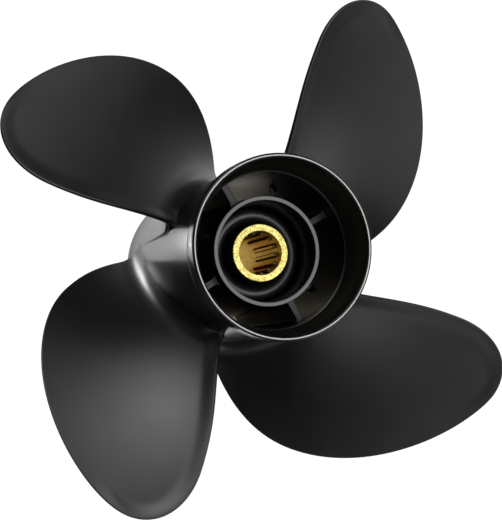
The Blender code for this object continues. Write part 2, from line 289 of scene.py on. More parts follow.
def hub_radius(z):
    share = (z - HUB_FRONT_Z) / (HUB_AFT_Z - HUB_FRONT_Z)
    return HUB_FRONT_RADIUS + (HUB_AFT_RADIUS - HUB_FRONT_RADIUS) * share


edge = HUB_EDGE_ROUND
hub_profile = [(HUB_FRONT_LIP_RADIUS, HUB_FRONT_Z + edge), (HUB_FRONT_LIP_RADIUS + edge, HUB_FRONT_Z)]
hub_profile += arc((HUB_FRONT_RADIUS - edge, HUB_FRONT_Z + edge), edge, -90.0, 0.0, steps=4)
hub_profile += arc((HUB_AFT_RADIUS - edge, HUB_AFT_Z - edge), edge, 0.0, 90.0, steps=5)
hub_profile += arc((HUB_MOUTH_RADIUS + edge, HUB_AFT_Z - edge), edge, 90.0, 180.0, steps=5)
hub_profile += [
    (HUB_BORE_RADIUS, HUB_AFT_Z - HUB_MOUTH_DEPTH),
    (HUB_BORE_RADIUS, HUB_FRONT_LIP_Z),
    (HUB_FRONT_LIP_RADIUS, HUB_FRONT_LIP_Z),
]
hub = finished_piece(turned(hub_profile), "painted_inner_hub", barrel_enamel)
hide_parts("inner_hub")
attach(hub, "root")

# Ribs
# Four cast webs carry the hub inside the barrel. They taper with the mould's draft, widen into
# small feet at both walls, and end towards the stern in a rounded edge.

RIB_COUNT = 4
RIB_TURN = math.radians(-30.7)
RIB_HALF = 0.0021
RIB_FOOT = 0.0020
RIB_FOOT_STEPS = 4
RIB_SINK = 0.0006
RIB_FRONT_Z, RIB_AFT_Z = (corner.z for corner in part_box("rib_1"))
RIB_END_ROUND = 0.0016


def rib_outline(z):
    """Half of a rib's section, from the hub to the barrel, as (radius, half thickness)."""
    inner = hub_radius(z)
    outer = bore_radius(z)
    foot = []
    for step in range(RIB_FOOT_STEPS + 1):
        turn = math.radians(90.0 * step / RIB_FOOT_STEPS)
        foot.append((RIB_FOOT * (1.0 - math.sin(turn)), RIB_HALF + RIB_FOOT * (1.0 - math.cos(turn))))
    hub_side = [(inner + rise, half) for rise, half in reversed(foot)]
    barrel_side = [(outer - rise, half) for rise, half in foot]
    ends = RIB_HALF + RIB_FOOT
    return [(inner - RIB_SINK, ends)] + hub_side + barrel_side + [(outer + RIB_SINK, ends)]


def rib_bmesh():
    """One rib towards +X: its sections at both ends, bridged, with the aft end rounded."""
    bm = bmesh.new()
    loops = []
    for z in (RIB_FRONT_Z, RIB_AFT_Z):
        half = rib_outline(z)
        around = half + [(radius, -side) for radius, side in reversed(half)]
        corners = [bm.verts.new((radius, side, z)) for radius, side in around]
        loops.append([bm.edges.new((corners[i - 1], corners[i])) for i in range(len(corners))])
    bmesh.ops.bridge_loops(bm, edges=loops[0] + loops[1])
    for loop in loops:
        bmesh.ops.edgeloop_fill(bm, edges=loop)
    bmesh.ops.bevel(
        bm, geom=loops[1], offset=RIB_END_ROUND, segments=4, profile=0.5,
        affect="EDGES", material=-1, clamp_overlap=True,
    )
    return bm


rib_form = rib_bmesh()
rib_mesh = bpy.data.meshes.new("rib")
rib_form.to_mesh(rib_mesh)
rib_form.free()
bm = bmesh.new()
for number in range(RIB_COUNT):
    bm.from_mesh(rib_mesh)
    bmesh.ops.rotate(
        bm, verts=bm.verts[-len(rib_mesh.vertices):], cent=(0.0, 0.0, 0.0),
        matrix=Matrix.Rotation(RIB_TURN + math.tau * number / RIB_COUNT, 3, "Z"),
    )
# The ribs get the enamel with the painted shade.
ribs = finished_piece(bm, "painted_ribs", shaded_throat_enamel)
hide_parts(*(f"rib_{number + 1}" for number in range(RIB_COUNT)))
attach(ribs, "root")

# Blades
# Four equal blades, cast with the barrel. Each section lies along a helix, flat on its aft face and
# swelling on its forward face. The trailing edge is blunt and lifted in a cup, the leading edge is
# thin, and a broad fillet runs into the barrel all round the root.

BLADE_COUNT = 4
TIP_RADIUS = 0.1714
LEADING_EDGE = (
    ((0.0214, -0.0452), (0.0422, -0.0730), (0.0641, -0.0843), (0.0858, -0.0830)),
    ((0.0858, -0.0830), (0.1347, -0.0799), (TIP_RADIUS, -0.0250), (TIP_RADIUS, 0.0)),
)
TRAILING_EDGE = (
    ((0.0494, 0.0075), (0.0802, 0.0140), (0.0950, 0.0236), (0.1292, 0.0279)),
    ((0.1292, 0.0279), (0.1533, 0.0309), (TIP_RADIUS, 0.0194), (TIP_RADIUS, 0.0)),
)
PITCH_ROOT = 0.385
PITCH_TIP = 0.366
RAKE_ROOT_Z = 0.0886
RAKE_SLOPE = 0.266
RAKE_EASE = 0.60
RAKE_FROM_RADIUS = 0.0500
THICKNESS_ROOT = 0.0110
THICKNESS_TIP = 0.0034
TRAILING_HALF = 0.0012
TRAILING_CORNER = 0.0006
LEADING_HALF = 0.0008
LEADING_CORNER = 0.00074
FACE_HALF = 0.0010
CUP_HEIGHT = 0.0012
CUP_WIDTH = 0.0100
FILLET_HEIGHT = 0.0105
FILLET_AFT = 0.0130
FILLET_FORWARD = 0.0080
FILLET_LEADING = 0.0030
FILLET_TRAILING = 0.0007
# At the trailing end the fillets on both faces shrink to this share, over this length.
FILLET_LEFT = 0.15
FILLET_FADE = 0.0150
FOOT_SINK = 0.0008
SPINE_END_RADIUS = 0.1500
# The foot and the crest of the mould's step, as curves of (radius, plan angle in degrees, z).
PARTING_FOOT = (
    ((0.0580, 8.4, 0.1014), (0.0545, 8.1, 0.1002), (0.0500, 9.4, 0.0944), (0.0497, 12.5, 0.0918)),
    ((0.0497, 12.5, 0.0918), (0.0497, 14.6, 0.0899), (0.0495, 14.1, 0.0640), (0.0493, 15.4, 0.0325)),
)
PARTING_CREST = (
    ((0.0580, 8.6, 0.0998), (0.0549, 8.0, 0.0988), (0.0530, 8.8, 0.0928), (0.0519, 12.2, 0.0885)),
    ((0.0519, 12.2, 0.0885), (0.0512, 13.5, 0.0845), (0.0501, 14.0, 0.0600), (0.0493, 15.4, 0.0325)),
)
PARTING_STEPS = 48
# How far to both sides of a section its foot is looked at, for the direction of its run.
PARTING_PROBE = 0.01
PARTING_SINK = 0.0008
# The rounds at its foot and crest, and the most of its height that each may take up.
PARTING_ROUND = 0.0003
PARTING_FOOT_SHARE = 0.4
PARTING_CREST_SHARE = 0.3
# The step comes out of the blade's root over this share of its first curve. Before that, the sink
# of its foot is multiplied by this factor.
PARTING_BURIED = 0.35
PARTING_BURIED_SINK = -0.5
# Behind its crest the step falls off in a skirt, which is short where the step is low or starts.
SKIRT_LENGTH = 0.0100
SKIRT_LOW_SHARE = 0.3
SKIRT_FULL_HEIGHT = 0.0020
SKIRT_START_SHARE = 0.12
SKIRT_GROWS_FROM = 0.4
SKIRT_GROWS_OVER = 0.5
SKIRT_STEPS = 8
OUTLINE_CELLS = 60
CORNER_CELLS = 6
FACE_CELLS = 28
FACE_CELL_GROWTH = 1.7
FILLET_CELLS = 12
LENGTH_STEPS = 8
HALVINGS = 36
# In cells: how far before the tip the edge starts to grow blunt, and over how many it does. The cup
# grows over the last cells before the tip.
BLUNT_FROM = 10
BLUNT_OVER = 14
CUP_OVER = 12
FOOT_MERGE_DISTANCE = 1e-5


def curve_point(curves, along):
    """Point of a chain of cubic curves, where the whole part of along picks the curve."""
    index = min(max(int(along), 0), len(curves) - 1)
    share = along - index
    rest = 1.0 - share
    first, second, third, fourth = (Vector(corner) for corner in curves[index])
    return (
        first * rest**3 + second * 3 * rest**2 * share + third * 3 * rest * share**2 + fourth * share**3)


def edge_angle(curves, radius):
    """Plan angle of an outline curve where it crosses this radius, found by halving."""
    low, high = 0.0, float(len(curves))
    for _ in range(HALVINGS):
        middle = (low + high) / 2
        if curve_point(curves, middle).length < radius:
            low = middle
        else:
            high = middle
    found = curve_point(curves, (low + high) / 2)
    return math.atan2(found.y, found.x)


def smooth_step(value):
    value = min(1.0, max(0.0, value))
    return value * value * (3.0 - 2.0 * value)


def out_share(radius):
    return (radius - RAKE_FROM_RADIUS) / (TIP_RADIUS - RAKE_FROM_RADIUS)


def blade_point(radius, angle, offset, chordwise=0.0):
    """Point of the blade at a plan position, moved towards the aft face and chordwise along the helix."""
    pitch = PITCH_ROOT + (PITCH_TIP - PITCH_ROOT) * out_share(radius)
    helix = math.atan2(pitch, math.tau * radius)
    out = radius - RAKE_FROM_RADIUS
    z = RAKE_ROOT_Z + RAKE_SLOPE * out - RAKE_EASE * out * out + pitch * angle / math.tau
    z += chordwise * math.sin(helix) + offset * math.cos(helix)
    turn = angle + (chordwise * math.cos(helix) - offset * math.sin(helix)) / radius
    return Vector((radius * math.cos(turn), radius * math.sin(turn), z))


def mid_angle(radius):
    return (edge_angle(LEADING_EDGE, radius) + edge_angle(TRAILING_EDGE, radius)) / 2


def column(index):
    """What a line from the outline to the spine needs. Lines run from the leading root round the tip."""
    leading = index < OUTLINE_CELLS
    pair = index if leading else 2 * OUTLINE_CELLS - index
    share = pair / OUTLINE_CELLS
    root = RAKE_FROM_RADIUS + FILLET_HEIGHT
    radius = root + (TIP_RADIUS - root) * math.sin(math.pi / 2 * share)
    spine_radius = root + (SPINE_END_RADIUS - root) * share
    angle = edge_angle(LEADING_EDGE if leading else TRAILING_EDGE, radius) if pair < OUTLINE_CELLS else 0.0
    blunt = smooth_step((index - OUTLINE_CELLS + BLUNT_FROM) / BLUNT_OVER)
    return {
        "leading": leading,
        "outline": (radius, angle),
        "spine": (spine_radius, mid_angle(spine_radius)),
        "half": LEADING_HALF + (TRAILING_HALF - LEADING_HALF) * blunt,
        "corner": LEADING_CORNER + (TRAILING_CORNER - LEADING_CORNER) * blunt,
        "cup": CUP_HEIGHT * smooth_step((index - OUTLINE_CELLS + CUP_OVER) / CUP_OVER),
    }


def measured(columns):
    """Adds each line's length, and how far along it the surface moves a unit in from the outline."""
    for index, line in enumerate(columns):
        before = columns[max(index - 1, 0)]["outline"]
        after = columns[min(index + 1, len(columns) - 1)]["outline"]
        along = blade_point(*after, 0.0) - blade_point(*before, 0.0)
        (radius, angle), (spine_radius, spine_angle) = line["outline"], line["spine"]
        stops = []
        for step in range(LENGTH_STEPS + 1):
            share = step / LENGTH_STEPS
            stops.append(blade_point(
                radius + (spine_radius - radius) * share, angle + (spine_angle - angle) * share, 0.0))
        line["length"] = sum((b - a).length for a, b in zip(stops, stops[1:]))
        start = stops[1] - stops[0]
        line["slant"] = start.cross(along).length / (start.length * along.length)
    return columns


def across(line, row):
    """Share of the way to the spine, lift off the middle, and how far the face has turned, at a row."""
    turn = math.radians(90.0 * max(0, min(row - 1, CORNER_CELLS)) / CORNER_CELLS)
    corner = line["corner"]
    inset = corner * (1.0 - math.cos(turn))
    lift = line["half"] - corner + corner * math.sin(turn) if row else 0.0
    reach = line["length"] * line["slant"]
    share = inset / reach
    if row > CORNER_CELLS + 1:
        step = (row - CORNER_CELLS - 1) / FACE_CELLS
        share += (1.0 - share) * step**FACE_CELL_GROWTH
        lift += (FACE_HALF - lift) * smooth_step(share)
    return share, lift, turn


def thickness(radius, share):
    """How far the forward face swells, beyond the thickness of the edge."""
    most = THICKNESS_TIP + (THICKNESS_ROOT - THICKNESS_TIP) * max(0.0, 1.0 - out_share(radius))
    return (most - 2 * TRAILING_HALF) * (1.0 - (1.0 - share) ** 2)


def lifted(line, radius, share, lift, side):
    """Height of the aft face, side 1, or the forward face, side -1, over the helix."""
    inset = share * line["length"] * line["slant"]
    raised = line["cup"] * (1.0 - smooth_step(inset / CUP_WIDTH))
    if side > 0:
        return lift + raised
    return raised - lift - thickness(radius, share)


def root_point(line, row, side, turn):
    """Point of the root fillet, where turn goes from 0 on the blade to a quarter turn on the barrel."""
    share, lift, facing = across(line, row)
    curve = LEADING_EDGE if line["leading"] else TRAILING_EDGE
    outward = -1.0 if line["leading"] else 1.0
    end = FILLET_LEADING if line["leading"] else FILLET_TRAILING
    face = FILLET_AFT if side > 0 else FILLET_FORWARD
    if not line["leading"]:
        face *= FILLET_LEFT + (1.0 - FILLET_LEFT) * smooth_step(share * line["length"] / FILLET_FADE)
    radius = RAKE_FROM_RADIUS + FILLET_HEIGHT * (1.0 - math.sin(turn))
    spread = 1.0 - math.cos(turn)
    start = edge_angle(curve, radius)
    angle = start + (mid_angle(radius) - start) * share
    offset = lifted(line, radius, share, lift, side) + side * face * spread * math.sin(facing)
    point = blade_point(radius, angle, offset, outward * end * spread * math.cos(facing))
    skin = barrel_radius(point.z)
    true_radius = skin + (RAKE_FROM_RADIUS + FILLET_HEIGHT - skin) * (1.0 - math.sin(turn))
    scale = true_radius / math.hypot(point.x, point.y)
    return Vector((point.x * scale, point.y * scale, point.z))


def sunk(point, depth):
    """The point moved straight in towards the shaft."""
    scale = 1.0 - depth / math.hypot(point.x, point.y)
    return Vector((point.x * scale, point.y * scale, point.z))


def camber_foot(line, row):
    """Point inside the barrel where the skins of both faces end together."""
    share = across(line, row)[0]
    curve = LEADING_EDGE if line["leading"] else TRAILING_EDGE
    start = edge_angle(curve, RAKE_FROM_RADIUS)
    point = blade_point(RAKE_FROM_RADIUS, start + (mid_angle(RAKE_FROM_RADIUS) - start) * share, 0.0)
    return sunk(point, FOOT_SINK)


def drawn_on(bm, border, places):
    """Extrudes a ring of edges once and puts each new vertex down with what places has for its old one."""
    grown = bmesh.ops.extrude_edge_only(bm, edges=border)["geom"]
    new_places = {}
    for vert in (item for item in grown if isinstance(item, bmesh.types.BMVert)):
        riser = next(edge for edge in vert.link_edges if not edge.is_boundary)
        new_places[vert] = places[riser.other_vert(vert)]
    new_border = [item for item in grown if isinstance(item, bmesh.types.BMEdge) and item.is_boundary]
    return new_border, new_places


def blade_bmesh():
    """A grid folded over the edge: its middle row is the outline, its outer rows meet at the spine."""
    rows = CORNER_CELLS + 1 + FACE_CELLS
    columns = measured([column(index) for index in range(2 * OUTLINE_CELLS + 1)])
    bm = bmesh.new()
    bmesh.ops.create_grid(bm, x_segments=2 * OUTLINE_CELLS, y_segments=2 * rows, size=1.0)
    shares = {}
    doubles = []
    for vert in bm.verts:
        index = round((vert.co.x + 1.0) * OUTLINE_CELLS)
        level = round(vert.co.y * rows)
        side = 1 if level >= 0 else -1
        line = columns[index]
        share, lift, _ = across(line, abs(level))
        radius = line["outline"][0] + (line["spine"][0] - line["outline"][0]) * share
        angle = line["outline"][1] + (line["spine"][1] - line["outline"][1]) * share
        vert.co = blade_point(radius, angle, lifted(line, radius, share, lift, side))
        shares[vert] = (line, abs(level), side)
        if abs(level) == rows:
            doubles.append(vert)
    focus = [vert for vert in doubles if shares[vert][0] is columns[OUTLINE_CELLS]]
    bmesh.ops.remove_doubles(bm, verts=doubles, dist=MERGE_DISTANCE)
    bmesh.ops.dissolve_verts(bm, verts=focus)
    border = [edge for edge in bm.edges if edge.is_boundary]
    turns = [math.pi / 2 * (1.0 - (1.0 - step / FILLET_CELLS) ** 2) for step in range(1, FILLET_CELLS + 1)]
    places = [lambda line, row, side, turn=turn: root_point(line, row, side, turn) for turn in turns]
    places.append(lambda line, row, side: sunk(root_point(line, row, side, math.pi / 2), FOOT_SINK))
    places.append(lambda line, row, side: camber_foot(line, row))
    for place in places:
        border, shares = drawn_on(bm, border, shares)
        for vert, share in shares.items():
            vert.co = place(*share)
    bmesh.ops.remove_doubles(bm, verts=list(shares), dist=FOOT_MERGE_DISTANCE)
    return bm


def on_barrel(place):
    """Point from a (radius, plan angle in degrees, z) triple."""
    radius, angle, z = place
    return Vector((radius * math.cos(math.radians(angle)), radius * math.sin(math.radians(angle)), z))


def parting_section(along):
    """Outline across the mould's step: its foot, steep wall, round crest and skirt, and its sunk back."""
    foot = on_barrel(curve_point(PARTING_FOOT, along))
    crest = on_barrel(curve_point(PARTING_CREST, along))
    next_foot = on_barrel(curve_point(PARTING_FOOT, along + PARTING_PROBE))
    last_foot = on_barrel(curve_point(PARTING_FOOT, along - PARTING_PROBE))
    height = (crest - foot).length
    radial = Vector((foot.x, foot.y, 0.0)).normalized()
    up = (crest - foot + radial * PARTING_ROUND / 4).normalized()
    out = up.cross(next_foot - last_foot).normalized()
    buried = 1.0 - smooth_step(along / PARTING_BURIED)
    foot = foot - out * PARTING_ROUND * buried
    crest = crest - out * PARTING_ROUND * buried
    sink = PARTING_SINK * (1.0 - (1.0 - PARTING_BURIED_SINK) * buried)
    foot_round = min(PARTING_ROUND, height * PARTING_FOOT_SHARE) * (1.0 - buried)
    crest_round = min(PARTING_ROUND, height * PARTING_CREST_SHARE)
    corners = [foot + out * foot_round - up * sink]
    for step in range(4):
        turn = math.radians(-90.0 - 30.0 * step)
        centre = foot + (out + up) * foot_round
        corners.append(centre + (out * math.cos(turn) + up * math.sin(turn)) * foot_round)
    for step in range(5):
        turn = math.radians(22.5 * step)
        centre = crest - (out + up) * crest_round
        corners.append(centre + (out * math.cos(turn) + up * math.sin(turn)) * crest_round)
    height_share = min(1.0, height / SKIRT_FULL_HEIGHT)
    grown_share = smooth_step((along - SKIRT_GROWS_FROM) / SKIRT_GROWS_OVER)
    skirt = SKIRT_LENGTH * (SKIRT_LOW_SHARE + (1.0 - SKIRT_LOW_SHARE) * height_share)
    skirt *= SKIRT_START_SHARE + (1.0 - SKIRT_START_SHARE) * grown_share
    for step in range(1, SKIRT_STEPS + 1):
        share = step / SKIRT_STEPS
        drop = (height + PARTING_ROUND) * smooth_step(share)
        corners.append(crest - out * (crest_round + (skirt - crest_round) * share) - up * drop)
    corners.append(crest - out * skirt - up * (height + abs(sink) + PARTING_ROUND))
    return corners


def add_parting_step(bm):
    """The low step that the two halves of the mould left, from the trailing edge's root over the barrel."""
    loops = []
    for step in range(PARTING_STEPS + 1):
        along = len(PARTING_FOOT) * step / PARTING_STEPS
        corners = [bm.verts.new(corner) for corner in parting_section(along)]
        loops.append([bm.edges.new((corners[i - 1], corners[i])) for i in range(len(corners))])
    for first, second in zip(loops, loops[1:]):
        bmesh.ops.bridge_loops(bm, edges=first + second)
    for loop in (loops[0], loops[-1]):
        bmesh.ops.edgeloop_fill(bm, edges=loop)


BLADE_BLACK = ((0.0045, 0.0045, 0.0048), (0.00765, 0.00765, 0.00816))
BLADE_PEEL = 0.00003
BLADE_PEEL_SCALE = 700.0
blade_enamel = enamel("blade_enamel", BLADE_BLACK, (0.30, 0.36), BLADE_PEEL, BLADE_PEEL_SCALE)
blade_mesh = bpy.data.meshes.new("blade")
blade_form = blade_bmesh()
add_parting_step(blade_form)
blade_form.to_mesh(blade_mesh)
blade_form.free()
for number in range(BLADE_COUNT):
    bm = bmesh.new()
    bm.from_mesh(blade_mesh)
    bmesh.ops.rotate(
        bm, verts=bm.verts, cent=(0.0, 0.0, 0.0),
        matrix=Matrix.Rotation(math.tau * number / BLADE_COUNT, 3, "Z"),
    )
    blade = finished_piece(bm, f"painted_blade_{number + 1}", blade_enamel)
    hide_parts(f"blade_{number + 1}")
    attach(blade, "root")

# Rubber bushing
# A sleeve of hard black rubber, bonded round the brass and pressed into the hub. It slips if a
# blade strikes something. Towards the stern it bulges into a rounded shoulder.

BUSHING_PRESS = 0.0001
BUSHING_WALL_RADIUS = HUB_BORE_RADIUS + BUSHING_PRESS
BUSHING_FRONT_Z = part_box("rubber_bushing")[0].z
BUSHING_WALL_Z = 0.1000
BUSHING_CREST_Z = 0.1088
BUSHING_CREST_RADIUS = 0.0234
BUSHING_CREST_ROUND = 0.0040
BUSHING_CREST_START, BUSHING_CREST_END = 20.0, 160.0
BUSHING_GROOVE_Z = 0.1010
BUSHING_TURNING_STEPS = 160
SLEEVE_RADIUS = 0.01696
RUBBER_BLACK = (0.009, 0.009, 0.0095)
RUBBER_GRAIN = 0.00002
RUBBER_GRAIN_SCALE = 1400.0

rubber, _ = grained("moulded_rubber", RUBBER_GRAIN_SCALE, (0.34, 0.46), RUBBER_GRAIN)
rubber.node_tree.nodes["Principled BSDF"].inputs["Base Color"].default_value = (*RUBBER_BLACK, 1.0)
crest_centre = (BUSHING_CREST_RADIUS, BUSHING_CREST_Z - BUSHING_CREST_ROUND)
bushing_profile = [
    (SLEEVE_RADIUS - BUSHING_PRESS, BUSHING_FRONT_Z),
    (BUSHING_WALL_RADIUS, BUSHING_FRONT_Z),
    (BUSHING_WALL_RADIUS, BUSHING_WALL_Z),
]
bushing_profile += arc(
    crest_centre, BUSHING_CREST_ROUND, BUSHING_CREST_START, BUSHING_CREST_END, steps=16)
bushing_profile.append((SLEEVE_RADIUS - BUSHING_PRESS, BUSHING_GROOVE_Z))
bushing = finished_piece(turned(bushing_profile, BUSHING_TURNING_STEPS), "moulded_bushing", rubber)
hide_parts("rubber_bushing")
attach(bushing, "root")

# Drive sleeve
# A brass tube that slides over the propeller shaft. Its ends are sawn and faced, its bore is
# broached with fifteen spline teeth over its middle stretch, and nothing on it is polished.

SLEEVE_FRONT_Z, SLEEVE_AFT_Z = (corner.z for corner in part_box("drive_sleeve"))
SLEEVE_BORE = 0.01294
SLEEVE_EDGE = 0.0003
TOOTH_COUNT = 15
TOOTH_START = math.radians(10.2)
TOOTH_RADIUS = 0.0114
TOOTH_FRONT_Z = 0.0720
TOOTH_AFT_Z = 0.1110
TOOTH_END_SLOPE = 0.0008
TOOTH_ROOT_HALF = math.radians(7.0)
TOOTH_TIP_HALF = math.radians(3.6)
FLANK_STEP = 0.0010
FLANK_AREA = 0.00001
TOOTH_END_FACING = 0.3
BRASS_GRAIN = 0.00004
BRASS_GRAIN_SCALE = 1500.0
BLOTCH_SCALE = 900.0
BLOTCH_LOW, BLOTCH_HIGH = 0.36, 0.64
PITS_PER_METRE = 700.0
PITTED_SHARE = 0.30
PIT_SIZE = 0.34
PIT_COLOUR = (0.20, 0.13, 0.02)


def brass(name, colours, gloss, edge_tint, pitted=False):
    """Unpolished brass, blotched between its two colours. edge_tint is its colour at a glancing angle."""
    material, tone = grained(name, BRASS_GRAIN_SCALE, gloss, BRASS_GRAIN, wave_scale=BLOTCH_SCALE)
    nodes, links = material.node_tree.nodes, material.node_tree.links
    shader = nodes["Principled BSDF"]
    shader.inputs["Metallic"].default_value = 1.0
    shader.inputs["Specular Tint"].default_value = (*edge_tint, 1.0)
    blotches = nodes.new("ShaderNodeMapRange")
    blotches.inputs["From Min"].default_value = BLOTCH_LOW
    blotches.inputs["From Max"].default_value = BLOTCH_HIGH
    links.new(tone, blotches.inputs["Value"])
    surface = mixed(material, blotches.outputs["Result"], *colours)
    if pitted:
        surface = with_pits(material, surface)
    links.new(surface, shader.inputs["Base Color"])
    return material


def with_pits(material, surface):
    """Puts small dark pits of many sizes into a surface colour, in some of the cells of a pattern."""
    nodes, links = material.node_tree.nodes, material.node_tree.links
    place = nodes.new("ShaderNodeTexCoord")
    cells = nodes.new("ShaderNodeTexVoronoi")
    cells.inputs["Scale"].default_value = PITS_PER_METRE
    chance = nodes.new("ShaderNodeSeparateColor")
    size = nodes.new("ShaderNodeMapRange")
    size.inputs["From Min"].default_value, size.inputs["From Max"].default_value = 0.0, PITTED_SHARE
    size.inputs["To Min"].default_value, size.inputs["To Max"].default_value = PIT_SIZE, 0.0
    in_pit = nodes.new("ShaderNodeMath")
    in_pit.operation = "LESS_THAN"
    links.new(place.outputs["Object"], cells.inputs["Vector"])
    links.new(cells.outputs["Color"], chance.inputs["Color"])
    links.new(chance.outputs["Red"], size.inputs["Value"])
    links.new(cells.outputs["Distance"], in_pit.inputs[0])
    links.new(size.outputs["Result"], in_pit.inputs[1])
    pits = nodes.new("ShaderNodeMix")
    pits.data_type = "RGBA"
    pits.inputs["B"].default_value = (*PIT_COLOUR, 1.0)
    links.new(in_pit.outputs["Value"], pits.inputs["Factor"])
    links.new(surface, pits.inputs["A"])
    return pits.outputs["Result"]


bm = bmesh.new()
tooth_turns = []
for tooth in range(TOOTH_COUNT):
    middle = TOOTH_START + math.tau * tooth / TOOTH_COUNT
    for turn in (-TOOTH_ROOT_HALF, -TOOTH_TIP_HALF, 0.0, TOOTH_TIP_HALF, TOOTH_ROOT_HALF):
        tooth_turns.append((middle + turn, abs(turn) < TOOTH_ROOT_HALF))
    tooth_turns.append((middle + math.pi / TOOTH_COUNT, False))
sleeve_rings = [
    (SLEEVE_FRONT_Z, SLEEVE_BORE + SLEEVE_EDGE, False),
    (SLEEVE_FRONT_Z + SLEEVE_EDGE, SLEEVE_BORE, False),
    (TOOTH_FRONT_Z, SLEEVE_BORE, False),
    (TOOTH_FRONT_Z + TOOTH_END_SLOPE, SLEEVE_BORE, True),
    (TOOTH_AFT_Z - TOOTH_END_SLOPE, SLEEVE_BORE, True),
    (TOOTH_AFT_Z, SLEEVE_BORE, False),
    (SLEEVE_AFT_Z - SLEEVE_EDGE, SLEEVE_BORE, False),
    (SLEEVE_AFT_Z, SLEEVE_BORE + SLEEVE_EDGE, False),
    (SLEEVE_AFT_Z, SLEEVE_RADIUS - SLEEVE_EDGE, False),
    (SLEEVE_AFT_Z - SLEEVE_EDGE, SLEEVE_RADIUS, False),
    (SLEEVE_FRONT_Z + SLEEVE_EDGE, SLEEVE_RADIUS, False),
    (SLEEVE_FRONT_Z, SLEEVE_RADIUS - SLEEVE_EDGE, False),
]


def sleeve_point(ring, corner):
    """Point where a ring, a (z, wall radius, toothed), crosses a corner, a (turn, on a tooth)."""
    z, wall, toothed = ring
    turn, on_tooth = corner
    radius = TOOTH_RADIUS if toothed and on_tooth else wall
    return Vector((radius * math.cos(turn), radius * math.sin(turn), z))


places = {bm.verts.new(sleeve_point(sleeve_rings[0], corner)): corner for corner in tooth_turns}
corners = list(places)
border = [bm.edges.new((corners[i - 1], corners[i])) for i in range(len(corners))]
for ring in sleeve_rings[1:] + sleeve_rings[:1]:
    border, places = drawn_on(bm, border, places)
    for vert, corner in places.items():
        vert.co = sleeve_point(ring, corner)
bmesh.ops.remove_doubles(bm, verts=bm.verts, dist=MERGE_DISTANCE)
bm.normal_update()

faced_brass = brass(
    "faced_brass", ((0.52, 0.41, 0.11), (0.92, 0.84, 0.32)), (0.64, 0.52), (1.0, 1.0, 1.0), pitted=True)
broached_brass = brass(
    "broached_brass", ((0.30, 0.20, 0.04), (0.58, 0.42, 0.11)), (0.38, 0.24), (1.0, 0.86, 0.60))
# The teeth's flanks are a darker brass.
dark_flank_brass = brass(
    "dark_flank_brass", ((0.09, 0.045, 0.015), (0.26, 0.15, 0.05)), (0.55, 0.40), (0.30, 0.18, 0.07))
cut_brass = brass(
    "cut_brass", ((0.18, 0.14, 0.05), (0.34, 0.29, 0.12)), (0.60, 0.50), (0.42, 0.38, 0.20))
sleeve_finishes = (faced_brass, broached_brass, rubber, dark_flank_brass, cut_brass)


def sleeve_finish(face):
    """Rubber outside, faced brass at the ends. In the bore, the teeth's flanks are darker, their ends cut.
    """
    middle = face.calc_center_median()
    distance = math.hypot(middle.x, middle.y)
    if distance > SLEEVE_RADIUS - SLEEVE_EDGE / 4:
        return rubber
    if distance >= SLEEVE_BORE + SLEEVE_EDGE / 4:
        return faced_brass
    if abs(face.normal.z) > TOOTH_END_FACING:
        return cut_brass
    radii = [math.hypot(corner.co.x, corner.co.y) for corner in face.verts]
    on_flank = max(radii) - min(radii) > FLANK_STEP and face.calc_area() > FLANK_AREA
    return dark_flank_brass if on_flank else broached_brass


for face in bm.faces:
    face.material_index = sleeve_finishes.index(sleeve_finish(face))
sleeve = finished_piece(bm, "brass_sleeve", *sleeve_finishes)
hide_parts("drive_sleeve")
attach(sleeve, "root")

# Studio
# A pale floor that shines white round the part, with painted shade inside the barrel's foot and soft
# spots of light, seven soft lamps in a dim room, two small lamps low under the blades, and a camera
# that looks at the part from astern, a little off the shaft's axis, with a long lens.

FLOOR_SIZE = 12.0
# Light that the floor throws on the part, as (distance from the shaft, colour).
FLOOR_LIGHT = (
    (0.000, (0.90, 0.85, 0.75)),
    (0.013, (0.90, 0.85, 0.75)),
    # Inside the barrel's foot the floor is dark and warm: painted shade where the barrel stands, which the
    # camera sees too.
    (0.016, (0.14, 0.12, 0.09)),
    (0.049, (0.14, 0.12, 0.09)),
    (0.050, (0.75, 0.75, 0.75)),
    (0.062, (1.00, 1.00, 1.00)),
    (0.070, (0.95, 0.95, 0.95)),
    (0.078, (0.75, 0.75, 0.75)),
    (0.088, (0.26, 0.26, 0.26)),
    (0.105, (1.90, 1.90, 1.90)),
    (0.125, (0.70, 0.70, 0.70)),
    (0.185, (0.00, 0.00, 0.00)),
    (0.500, (0.00, 0.00, 0.00)),
    (1.200, (0.15, 0.15, 0.15)),
)
FLOOR_WHITE_FROM = 0.049
ROOM_LIGHT = 0.01
ROOM_WHITE = 1.0
# Each soft lamp: its azimuth, elevation and half width in degrees, and its strength. The floor's
# lamps are spots of light on the floor, in the directions seen from this height over its middle.
FLOOR_SEEN_FROM_Z = 0.08
FLOOR_LAMPS = (
    (-95.0, -5.0, 18.0, 0.90),
    (-30.0, -3.0, 24.0, 0.30),
    (-12.0, -48.0, 8.0, 2.2),
)
LAMPS = (
    (54.0, 36.0, 12.0, 6.4),
    (-54.0, 69.0, 16.0, 4.7),
    (-31.0, 41.0, 16.0, 1.2),
    (-115.0, 46.0, 16.0, 1.1),
    (180.0, 28.0, 16.0, 1.7),
    (-103.0, 2.0, 15.0, 1.9),
    (0.0, 90.0, 16.0, 1.1),
)
# Each small lamp under the blades: its place, size and radiance. Both have one turn, in degrees.
LOW_LAMPS = (
    ((-0.0235, 0.0930, 0.0085), (0.042, 0.024), 19.5),
    ((-0.0400, 0.0880, 0.0280), (0.026, 0.014), 9.0),
)
LOW_LAMP_TURN = (-75.0, 40.0, 0.0)
CAMERA_PLACE = (-0.29061, 0.3053, 1.35038)
CAMERA_TURN = (4.8524, -17.9929, -62.1384)
CAMERA_LENS = 153.987
CAMERA_SENSOR = 36.0

